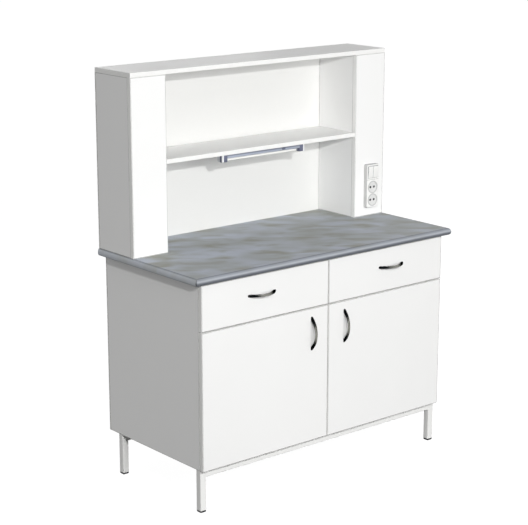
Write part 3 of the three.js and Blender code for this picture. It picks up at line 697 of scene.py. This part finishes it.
outer_radius, outer_angle = arc(HANDLE_LENGTH, HANDLE_PROJECTION)
inner_radius, inner_angle = arc(HANDLE_LENGTH - 2 * HANDLE_FOOT, HANDLE_PROJECTION - HANDLE_STRAP)
bow_sizes = {
    "Outer Radius": outer_radius,
    "Outer Angle": outer_angle,
    "Inner Radius": inner_radius,
    "Inner Angle": inner_angle,
    "Section": HANDLE_SECTION,
    "Finish": dark_nickel,
}


def handle(node, upright):
    """A bow on its front, where the CAD node stands, with the screws that hold it from behind."""
    low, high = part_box(node)
    centre = Vector(((low.x + high.x) / 2, high.y, (low.z + high.z) / 2))
    width = high.x - low.x if upright else high.z - low.z
    piece = grown(f"{node}_bow", [], bow, {**bow_sizes, "Width": width})
    turn = Matrix.Rotation(math.radians(90 if upright else 0), 4, "Y")
    piece.data.transform(Matrix.Translation(centre) @ turn)
    stand_for(piece, node)
    body = body_of[node]
    front_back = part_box(f"{body}_front" if body.endswith("drawer") else body)[1].y
    offsets = [-HANDLE_SCREW_SPACING / 2, HANDLE_SCREW_SPACING / 2]
    steps = [Vector((0, 0, o)) if upright else Vector((o, 0, 0)) for o in offsets]
    points = [Vector((centre.x, front_back, centre.z)) + step for step in steps]
    screws(f"{node}_screws", body, points, (0, 1, 0), HANDLE_SCREW_HEAD)


for hand in ("left", "right"):
    handle(f"{hand}_drawer_handle", False)
    handle(f"{hand}_door_handle", True)

# Doors: edged laminate boards on concealed hinges. A drawn steel cup is pressed into each bore and
# screwed by its wings, and an arm on a plate on the side panel carries the arched link that reaches
# into the cup.
WING_SCREW = 24 * MM  # above and below the middle of a cup
PLATE_SCREW = 18 * MM  # above and below the middle of a plate
PLATE_FACE = 3.5 * MM  # from the side panel
PLATE_MIDDLE = 23 * MM  # from the arm's rear end
# Nickel on pressed steel is bright and a little warm, with a haze left by the bath.
nickel, tree, shader, place = new_material("Bright nickel plated steel", "B4B4AE", 0.24, 1.0)
haze = add(tree, "ShaderNodeTexNoise", {"Vector": place, "Scale": 1 / (5 * MM), "Detail": 3.0})
gloss = add(tree, "ShaderNodeMapRange", {"Value": haze, "To Min": 0.18, "To Max": 0.34})
tree.links.new(gloss, shader.inputs["Roughness"])
tone = add(
    tree, "ShaderNodeMix", {0: haze, 6: linear("A8A8A2"), 7: linear("C0C0BA")}, data_type="RGBA"
)
tree.links.new(tone, shader.inputs["Base Color"])
for hand, inwards in (("left", 1), ("right", -1)):
    edged_board(f"{hand}_door")
    wing_points, plate_points = [], []
    for level in ("lower", "upper"):
        hinge = f"{hand}_{level}_hinge"
        for part in ("cup", "arm", "link"):
            smooth_piece(f"{hinge}_{part}", f"{hinge}_{part}_plated", nickel)
        low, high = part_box(f"{hinge}_cup")
        middle_x, middle_z = (low.x + high.x) / 2, (low.z + high.z) / 2
        wing_points += [(middle_x, high.y, middle_z + step) for step in (-WING_SCREW, WING_SCREW)]
        low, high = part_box(f"{hinge}_arm")
        face = low.x + PLATE_FACE if inwards > 0 else high.x - PLATE_FACE
        middle = Vector((face, high.y - PLATE_MIDDLE, (low.z + high.z) / 2))
        plate_points += [middle + Vector((0, 0, step)) for step in (-PLATE_SCREW, PLATE_SCREW)]
    screws(f"{hand}_door_cup_screws", f"{hand}_door", wing_points, (0, 1, 0))
    screws(f"{hand}_hinge_plate_screws", "bench", plate_points, (inwards, 0, 0))

# Upper unit: two boxed columns, a top board and the reagent shelf between them, all of the same
# edged laminate, with the white back sheet behind. It stands on the worktop and is screwed to it
# from below.
for node in ("unit_top", "reagent_shelf"):
    edged_board(node)
for hand in ("left", "right"):
    for board in ("front", "outer_side", "inner_side"):
        edged_board(f"{hand}_column_{board}")

# Lamp: an extruded aluminium housing screwed under the shelf, moulded holders with a pale band, an
# opal fluorescent tube with metal ferrules, and a small dark rocker switch in a pocket in the
# housing's front.
HOUSING_CORNER = 2 * MM
HOLDER_CORNER = 4 * MM
POCKET_DEPTH = 7 * MM
POCKET_ROOM = 0.5 * MM
BAND_LENGTH = 5 * MM  # along a holder's front from its outer end
BAND_DEPTH = 6 * MM  # along a holder's end from its front
END_SHADE = 17 * MM  # from a holder's front to where its end turns paler
END_SKIN = 1 * MM  # how near its end counts as on it
SHELF_SHADE = (8 * MM, 2 * MM)  # below the shelf, from no shade to full shade
DIE_LINES = (1 / (400 * MM), 1 / (2 * MM), 1 / (2 * MM))
housing_low, housing_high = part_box("lamp_housing")
anodised, tree, shader, place = new_material("Silver anodised aluminium", "9DA4B2", 0.4, 0.5)
# Die lines run along the extrusion, about 0.5 mm apart, drawn at 2 mm to show.
line_place = add(tree, "ShaderNodeMapping", {"Vector": place, "Scale": DIE_LINES})
lines = add(tree, "ShaderNodeTexNoise", {"Vector": line_place, "Scale": 1.0, "Detail": 2.0})
tone = add(
    tree, "ShaderNodeMix", {0: lines, 6: linear("9AA2B2"), 7: linear("AAB0BD")}, data_type="RGBA"
)
# Towards the shelf the housing is painted darker, as painted shade under the shelf's edge.
height = add(tree, "ShaderNodeSeparateXYZ", [place]).node.outputs["Z"]
start, full = (housing_high.z - distance for distance in SHELF_SHADE)
shelf_shade = add(tree, "ShaderNodeMapRange", {"Value": height, "From Min": start, "From Max": full})
shaded = add(tree, "ShaderNodeMix", {0: shelf_shade, 6: tone, 7: linear("666C79")}, data_type="RGBA")
tree.links.new(shaded, shader.inputs["Base Color"])
bump = add(tree, "ShaderNodeBump", {"Strength": 0.1, "Distance": 0.1 * MM, "Height": lines})
tree.links.new(bump, shader.inputs["Normal"])


def hung_bar(node, corner, pocket_height=0.0, pocket_steps=()):
    """A bar under the shelf, rounded below, whose front is set back between pocket steps."""
    low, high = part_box(node)
    middle = (low.z + high.z) / 2
    shape = bmesh.new()
    rings = []
    for x, depth in ((low.x, 0.0), *pocket_steps, (high.x, 0.0)):
        outline = [(low.y, high.z)]
        for inset, level in ((0.0, 1), (depth, 1), (depth, -1), (0.0, -1)):
            outline.append((low.y + inset, middle + level * pocket_height / 2))
        for y, quarter in ((low.y + corner, 2), (high.y - corner, 3)):
            for i in range(CORNER_STEPS):
                angle = math.pi / 2 * (quarter + i / (CORNER_STEPS - 1))
                z = low.z + corner + corner * math.sin(angle)
                outline.append((y + corner * math.cos(angle), z))
        outline.append((high.y, high.z))
        rings.append([shape.verts.new((x, y, z)) for y, z in outline])
    for ring, following in zip(rings, rings[1:]):
        for i in range(len(ring)):
            shape.faces.new((ring[i - 1], ring[i], following[i], following[i - 1]))
    shape.faces.new(rings[0])
    shape.faces.new(rings[-1])
    bmesh.ops.remove_doubles(shape, verts=shape.verts, dist=WELD)
    bmesh.ops.recalc_face_normals(shape, faces=shape.faces)
    return shape


low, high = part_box("lamp_switch")
housing_middle = (housing_low.z + housing_high.z) / 2
pocket_height = 2 * (max(high.z - housing_middle, housing_middle - low.z) + POCKET_ROOM)
start, end = low.x - POCKET_ROOM, high.x + POCKET_ROOM
pocket_steps = ((start, 0.0), (start, POCKET_DEPTH), (end, POCKET_DEPTH), (end, 0.0))
housing = hung_bar("lamp_housing", HOUSING_CORNER, pocket_height, pocket_steps)
smooth_piece("lamp_housing", "lamp_housing_extruded", anodised, bevel=0.3 * MM, shape=housing)

holder_low, holder_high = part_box("lamp_right_holder")
# The holders are dull dark plastic, with a pale band round the outer corner and paler ends behind
# it.
lamp_plastic, tree, shader, place = new_material("Moulded lamp holder", "5D6276", 0.4)
axes = add(tree, "ShaderNodeSeparateXYZ", [place]).node.outputs
half_length = add(tree, "ShaderNodeMath", [axes["X"]], operation="ABSOLUTE")
behind_front = add(tree, "ShaderNodeMath", [axes["Y"], holder_low.y], operation="SUBTRACT")
at_end = add(
    tree, "ShaderNodeMath", [half_length, holder_high.x - END_SKIN], operation="GREATER_THAN"
)
far_back = add(tree, "ShaderNodeMath", [behind_front, END_SHADE], operation="GREATER_THAN")
pale_end = add(tree, "ShaderNodeMath", [at_end, far_back], operation="MULTIPLY")
ended = add(
    tree, "ShaderNodeMix", {0: pale_end, 6: linear("5D6276"), 7: linear("C8CACE")}, data_type="RGBA"
)
near_end = add(
    tree, "ShaderNodeMath", [half_length, holder_high.x - BAND_LENGTH], operation="GREATER_THAN"
)
near_front = add(tree, "ShaderNodeMath", [behind_front, BAND_DEPTH], operation="LESS_THAN")
in_band = add(tree, "ShaderNodeMath", [near_end, near_front], operation="MULTIPLY")
tone = add(tree, "ShaderNodeMix", {0: in_band, 6: ended, 7: linear("F3F3F4")}, data_type="RGBA")
tree.links.new(tone, shader.inputs["Base Color"])
grain = add(tree, "ShaderNodeTexNoise", {"Vector": place, "Scale": 1 / MM, "Detail": 2.0})
bump = add(tree, "ShaderNodeBump", {"Strength": 0.15, "Distance": 0.1 * MM, "Height": grain})
tree.links.new(bump, shader.inputs["Normal"])
for side in ("left", "right"):
    holder = f"lamp_{side}_holder"
    bar = hung_bar(holder, HOLDER_CORNER)
    smooth_piece(holder, f"lamp_{side}_end", lamp_plastic, bevel=0.8 * MM, shape=bar)

# Opal glass is white and glossy, and a little uneven where the coat inside it is thinner.
opal, tree, shader, place = new_material("Opal lamp glass", "EDEDE9", 0.12)
coat = add(tree, "ShaderNodeTexNoise", {"Vector": place, "Scale": 1 / (40 * MM), "Detail": 2.0})
tone = add(
    tree, "ShaderNodeMix", {0: coat, 6: linear("E8E8E3"), 7: linear("F1F1EE")}, data_type="RGBA"
)
tree.links.new(tone, shader.inputs["Base Color"])
FERRULE_LENGTH = 7 * MM
FERRULE_STEP = 0.4 * MM
FERRULE_CHAMFER = 0.8 * MM
TUBE_STEPS = 40
tube_low, tube_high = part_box("lamp_tube")
tube_radius = (tube_high.z - tube_low.z) / 2
half_tube = (tube_high.x - tube_low.x) / 2
shoulder = half_tube - FERRULE_LENGTH
stations = [
    (half_tube, 0),
    (half_tube, tube_radius - FERRULE_CHAMFER),
    (half_tube - FERRULE_CHAMFER, tube_radius),
    (shoulder, tube_radius),
    (shoulder, tube_radius - FERRULE_STEP),
]
profile = [(-x, r) for x, r in stations] + [(x, r) for x, r in reversed(stations)]
shape = bmesh.new()
points = [shape.verts.new((x, 0, r)) for x, r in profile]
edges = [shape.edges.new(pair) for pair in zip(points, points[1:])]
turn = {"axis": (1, 0, 0), "cent": (0, 0, 0), "steps": TUBE_STEPS, "angle": 2 * math.pi}
bmesh.ops.spin(shape, geom=points + edges, **turn)
bmesh.ops.remove_doubles(shape, verts=shape.verts, dist=0.01 * MM)
bmesh.ops.recalc_face_normals(shape, faces=shape.faces)
for face in shape.faces:
    face.material_index = 0 if abs(face.calc_center_median().x) < shoulder - FERRULE_STEP else 1
shade_smooth(shape)
shape.transform(Matrix.Translation((tube_low + tube_high) / 2))
stand_for(new_piece("lamp_tube_opal", shape, opal, zinc), "lamp_tube")
smooth_piece("lamp_switch", "lamp_switch_rocker", lamp_plastic, bevel=0.5 * MM)

# Power block: a moulded cover with two switch rockers over two plug sockets, screwed to the right
# column, whose sides are drawn grey as painted shade. Each socket has a rim drawn grey, a shallow
# well drawn pale grey and two pin holes, round which black discs of painted shade are drawn.
WELL_RADIUS = 21.5 * MM
WELL_DEPTH = 2.5 * MM  # behind the block's face, as shallow as it looks in the photograph
PIN_SPACING = 19 * MM
HOLE_SHADE_RADIUS = 4.8 * MM
PIN_REACH = 13 * MM  # from the middle of a well past its pin holes
RIM_REACH = 25.5 * MM  # from the middle of a well past its rim
FRONT_ROUND = 1.6 * MM
OUTLINE_BAND = 1.7 * MM
TOUCH = 0.1 * MM  # how near the block's face counts as on it
low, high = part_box("power_block")
openings = frame["record"]["physics"]["openings"]
wells = [entry["box_m"] for entry in openings if entry["name"].endswith("_socket")]
well_centres = [(Vector(near) + Vector(far)) / 2 for near, far in wells]


def moulded(name, colour):
    """Glossy moulded plastic, whose gloss drifts a little with the flow in the mould."""
    material, tree, shader, place = new_material(name, colour, 0.3)
    flow = add(tree, "ShaderNodeTexNoise", {"Vector": place, "Scale": 1 / (12 * MM), "Detail": 2.0})
    gloss = add(tree, "ShaderNodeMapRange", {"Value": flow, "To Min": 0.24, "To Max": 0.36})
    tree.links.new(gloss, shader.inputs["Roughness"])
    pale = [min(1.0, part * 1.04) for part in linear(colour)]
    tone = add(tree, "ShaderNodeMix", {0: flow, 6: linear(colour), 7: pale}, data_type="RGBA")
    tree.links.new(tone, shader.inputs["Base Color"])
    return material


cover_white = moulded("White moulded cover", "E4E4E2")
side_shade_grey = moulded("Pale grey sides in painted shade", "BEBEBD")
rim_grey = moulded("Grey moulded rim", "B2B2B2")
well_grey = moulded("Pale grey moulded well", "CFCFCE")
top_and_shade_grey = moulded("Grey top and painted shade", "98989A")
# Black discs round the pin holes on the wells' floors are painted shade that widens the dark of the
# holes.
tree = well_grey.node_tree
shader = tree.nodes["Principled BSDF"]
place = add(tree, "ShaderNodeTexCoord").node.outputs["Object"]
axes = add(tree, "ShaderNodeSeparateXYZ", [place]).node.outputs
pairs_middle = (well_centres[0] + well_centres[1]) / 2
steps = []
for axis, middle, spacing in (
    ("X", pairs_middle.x, PIN_SPACING),
    ("Z", pairs_middle.z, abs(well_centres[0].z - well_centres[1].z)),
):
    offset = add(tree, "ShaderNodeMath", [axes[axis], middle], operation="SUBTRACT")
    distance = add(tree, "ShaderNodeMath", [offset], operation="ABSOLUTE")
    step = add(tree, "ShaderNodeMath", [distance, spacing / 2], operation="SUBTRACT")
    steps.append(add(tree, "ShaderNodeMath", [step, step], operation="MULTIPLY"))
square = add(tree, "ShaderNodeMath", steps, operation="ADD")
in_hole_shade = add(tree, "ShaderNodeMath", [square, HOLE_SHADE_RADIUS**2], operation="LESS_THAN")
plain = shader.inputs["Base Color"].links[0].from_socket
tone = add(tree, "ShaderNodeMix", {0: in_hole_shade, 6: plain, 7: linear("15161A")}, data_type="RGBA")
tree.links.new(tone, shader.inputs["Base Color"])
FINISHES = (cover_white, side_shade_grey, rim_grey, well_grey, top_and_shade_grey, polyamide)
COVER, SIDE_SHADE, RIM, WELL, GREY_TOP, DARK = range(len(FINISHES))
shape = merged("power_block")
block_face = min(vertex.co.y for vertex in shape.verts if vertex.co.z > high.z - 1 * MM)


def from_wells(point):
    """How far a point lies from the nearest well's axis."""
    return min(math.hypot(point.x - centre.x, point.z - centre.z) for centre in well_centres)


# The floors of the wells and their pin holes come forward to the wells' depth.
well_floor = block_face + WELL_DEPTH
deep = [vertex for vertex in shape.verts if vertex.co.y > well_floor]
inner = [vertex for vertex in deep if from_wells(vertex.co) < WELL_RADIUS + TOUCH]
lift = min(vertex.co.y for vertex in inner) - well_floor
for vertex in inner:
    vertex.co.y -= lift


def outline_inset(point):
    """How far a point lies inside the block's outline."""
    return min(point.x - low.x, high.x - point.x, point.z - low.z, high.z - point.z)


def block_finish(face):
    """The finish of a face of the block, by where it lies."""
    spot = face.calc_center_median()
    from_well = from_wells(spot)
    behind = spot.y - block_face
    # The pin holes are black inside, as painted shade.
    if from_well < PIN_REACH and spot.y > well_floor + TOUCH:
        return DARK
    if from_well < RIM_REACH and abs(behind) > TOUCH:
        return WELL if behind > 0 and from_well < WELL_RADIUS else RIM
    if behind <= TOUCH:
        return COVER
    # Set back near the outline, the block's sides are paler grey as painted shade, and its top
    # faces are drawn grey.
    if outline_inset(spot) < OUTLINE_BAND:
        return GREY_TOP if face.normal.z > 0.7 else SIDE_SHADE
    # Faces set back from the front elsewhere, in the seams and the rockers' pockets, are black:
    # painted shade in the gaps.
    return DARK


front_edges = []
for edge in shape.edges:
    ends = [vertex.co for vertex in edge.verts]
    spots = ends + [(ends[0] + ends[1]) / 2]
    on_face = all(abs(spot.y - block_face) < TOUCH for spot in spots)
    on_outline = all(outline_inset(spot) < OUTLINE_BAND for spot in spots)
    if on_face and on_outline and edge.calc_face_angle(0) > SHARP:
        front_edges.append(edge)
rounding = {"offset": FRONT_ROUND, "segments": 4, "profile": 0.5}
bmesh.ops.bevel(shape, geom=front_edges, affect="EDGES", **rounding)
for face in shape.faces:
    face.material_index = block_finish(face)
shade_smooth(shape)
stand_for(new_piece("power_block_moulded", shape, *FINISHES), "power_block")
for hand in ("left", "right"):
    finishes = (cover_white, top_and_shade_grey)
    rocker = smooth_piece(f"{hand}_rocker", f"{hand}_rocker_moulded", *finishes, bevel=1 * MM)
    # A rocker's front is white; its other faces are grey, as painted shade round the rocker.
    for polygon in rocker.data.polygons:
        polygon.material_index = 0 if polygon.normal.y < -0.9 else 1

# Stage: a plain white floor that keeps a faint shadow, a white surround that gives a low even
# light, a small key lamp at the upper left that draws crisp shadows, and wide soft panels in front,
# behind and at the left.
FLOOR_SIZE = 100.0
FLOOR_SHADE = 0.16  # share of the floor's own shading that the camera sees
FLOOR_GLOW = 1.13
KEY_PLACE = (-1.90, -3.57, 2.50)
KEY_RADIUS = 0.03
KEY_STRENGTH = 18.3
PANEL_PLACE = (-0.4, -3.5, 1.65)
PANEL_AIM = (0.0, 0.0, 0.8)
PANEL_SIZE = (2.4, 1.6)
PANEL_STRENGTH = 6.1
BACK_PLACE = (1.4, 3.6, 1.0)
BACK_STRENGTH = 5.0
LEFT_PLACE = (-2.6, 0.9, 0.9)
LEFT_STRENGTH = 0.8
SURROUND_LEVEL = 0.34


def seen_rays(tree):
    """1 for rays that show a surface to the camera, straight, in a reflection or through glass."""
    ray = add(tree, "ShaderNodeLightPath").node.outputs
    kinds = [ray["Is Camera Ray"], ray["Is Glossy Ray"]]
    seen = add(tree, "ShaderNodeMath", kinds, operation="MAXIMUM")
    return add(tree, "ShaderNodeMath", [seen, ray["Is Transmission Ray"]], operation="MAXIMUM")


floor_material = bpy.data.materials.new("White studio floor")
floor_material.use_nodes = True
tree = floor_material.node_tree
tree.nodes.clear()
seen = seen_rays(tree)
white_share = add(tree, "ShaderNodeMath", [seen, 1 - FLOOR_SHADE], operation="MULTIPLY")
# Where it is seen, the floor is white. To all other rays it is dark, so it throws little light up.
paint = add(
    tree, "ShaderNodeMix", {0: seen, 6: linear("404040"), 7: linear("F4F4F4")}, data_type="RGBA"
)
matt = add(tree, "ShaderNodeBsdfDiffuse", {"Color": paint})
glow = add(tree, "ShaderNodeEmission", {"Color": linear("FFFFFF"), "Strength": FLOOR_GLOW})
mixed = add(tree, "ShaderNodeMixShader", [white_share, matt, glow])
add(tree, "ShaderNodeOutputMaterial", {"Surface": mixed})
shape = bmesh.new()
bmesh.ops.create_grid(shape, x_segments=1, y_segments=1, size=FLOOR_SIZE / 2)
floor = new_piece("studio_floor", shape, floor_material)

world = bpy.data.worlds.new("White surround")
bpy.context.scene.world = world
world.use_nodes = True
tree = world.node_tree
tree.nodes.clear()
levels = {0: seen_rays(tree), 2: SURROUND_LEVEL, 3: 1.0}
level = add(tree, "ShaderNodeMix", levels, data_type="FLOAT")
background = add(tree, "ShaderNodeBackground", {"Color": linear("FFFFFF"), "Strength": level})
add(tree, "ShaderNodeOutputWorld", {"Surface": background})


def studio_lamp(name, kind, strength, place, aim):
    """A lamp whose light does not fade with distance, aimed at a point."""
    light = bpy.data.lights.new(name, kind)
    light.energy = 1.0
    light.use_nodes = True
    tree = light.node_tree
    even = add(tree, "ShaderNodeLightFalloff", {"Strength": strength}).node.outputs["Constant"]
    tree.links.new(even, tree.nodes["Emission"].inputs["Strength"])
    stand = bpy.data.objects.new(name, light)
    stand.location = place
    stand.rotation_euler = (Vector(aim) - Vector(place)).to_track_quat("-Z", "Y").to_euler()
    bpy.context.scene.collection.objects.link(stand)
    return light


studio_lamp("key_lamp", "POINT", KEY_STRENGTH, KEY_PLACE, PANEL_AIM).shadow_soft_size = KEY_RADIUS
for name, strength, place in (
    ("front_panel", PANEL_STRENGTH, PANEL_PLACE),
    ("back_panel", BACK_STRENGTH, BACK_PLACE),
    ("left_panel", LEFT_STRENGTH, LEFT_PLACE),
):
    panel = studio_lamp(name, "AREA", strength, place, PANEL_AIM)
    panel.shape = "RECTANGLE"
    panel.size, panel.size_y = PANEL_SIZE

# Camera: fitted to the photograph's frame of 528 by 525 pixels, about its centre.
PHOTO_WIDTH = 528
FOCAL_PIXELS = 1573.9
SENSOR_WIDTH = 36.0
CAMERA_PLACE = (-3.6627, -4.3021, 2.1760)
CAMERA_YAW = 39.809
CAMERA_PITCH = 14.087
lens = bpy.data.cameras.new("photo_camera")
lens.sensor_fit = "HORIZONTAL"
lens.sensor_width = SENSOR_WIDTH
lens.lens = FOCAL_PIXELS * SENSOR_WIDTH / PHOTO_WIDTH
camera = bpy.data.objects.new("photo_camera", lens)
camera.location = CAMERA_PLACE
camera.rotation_euler = (math.radians(90 - CAMERA_PITCH), 0, math.radians(-CAMERA_YAW))
bpy.context.scene.collection.objects.link(camera)
bpy.context.scene.camera = camera
bpy.context.scene.view_settings.view_transform = "Standard"
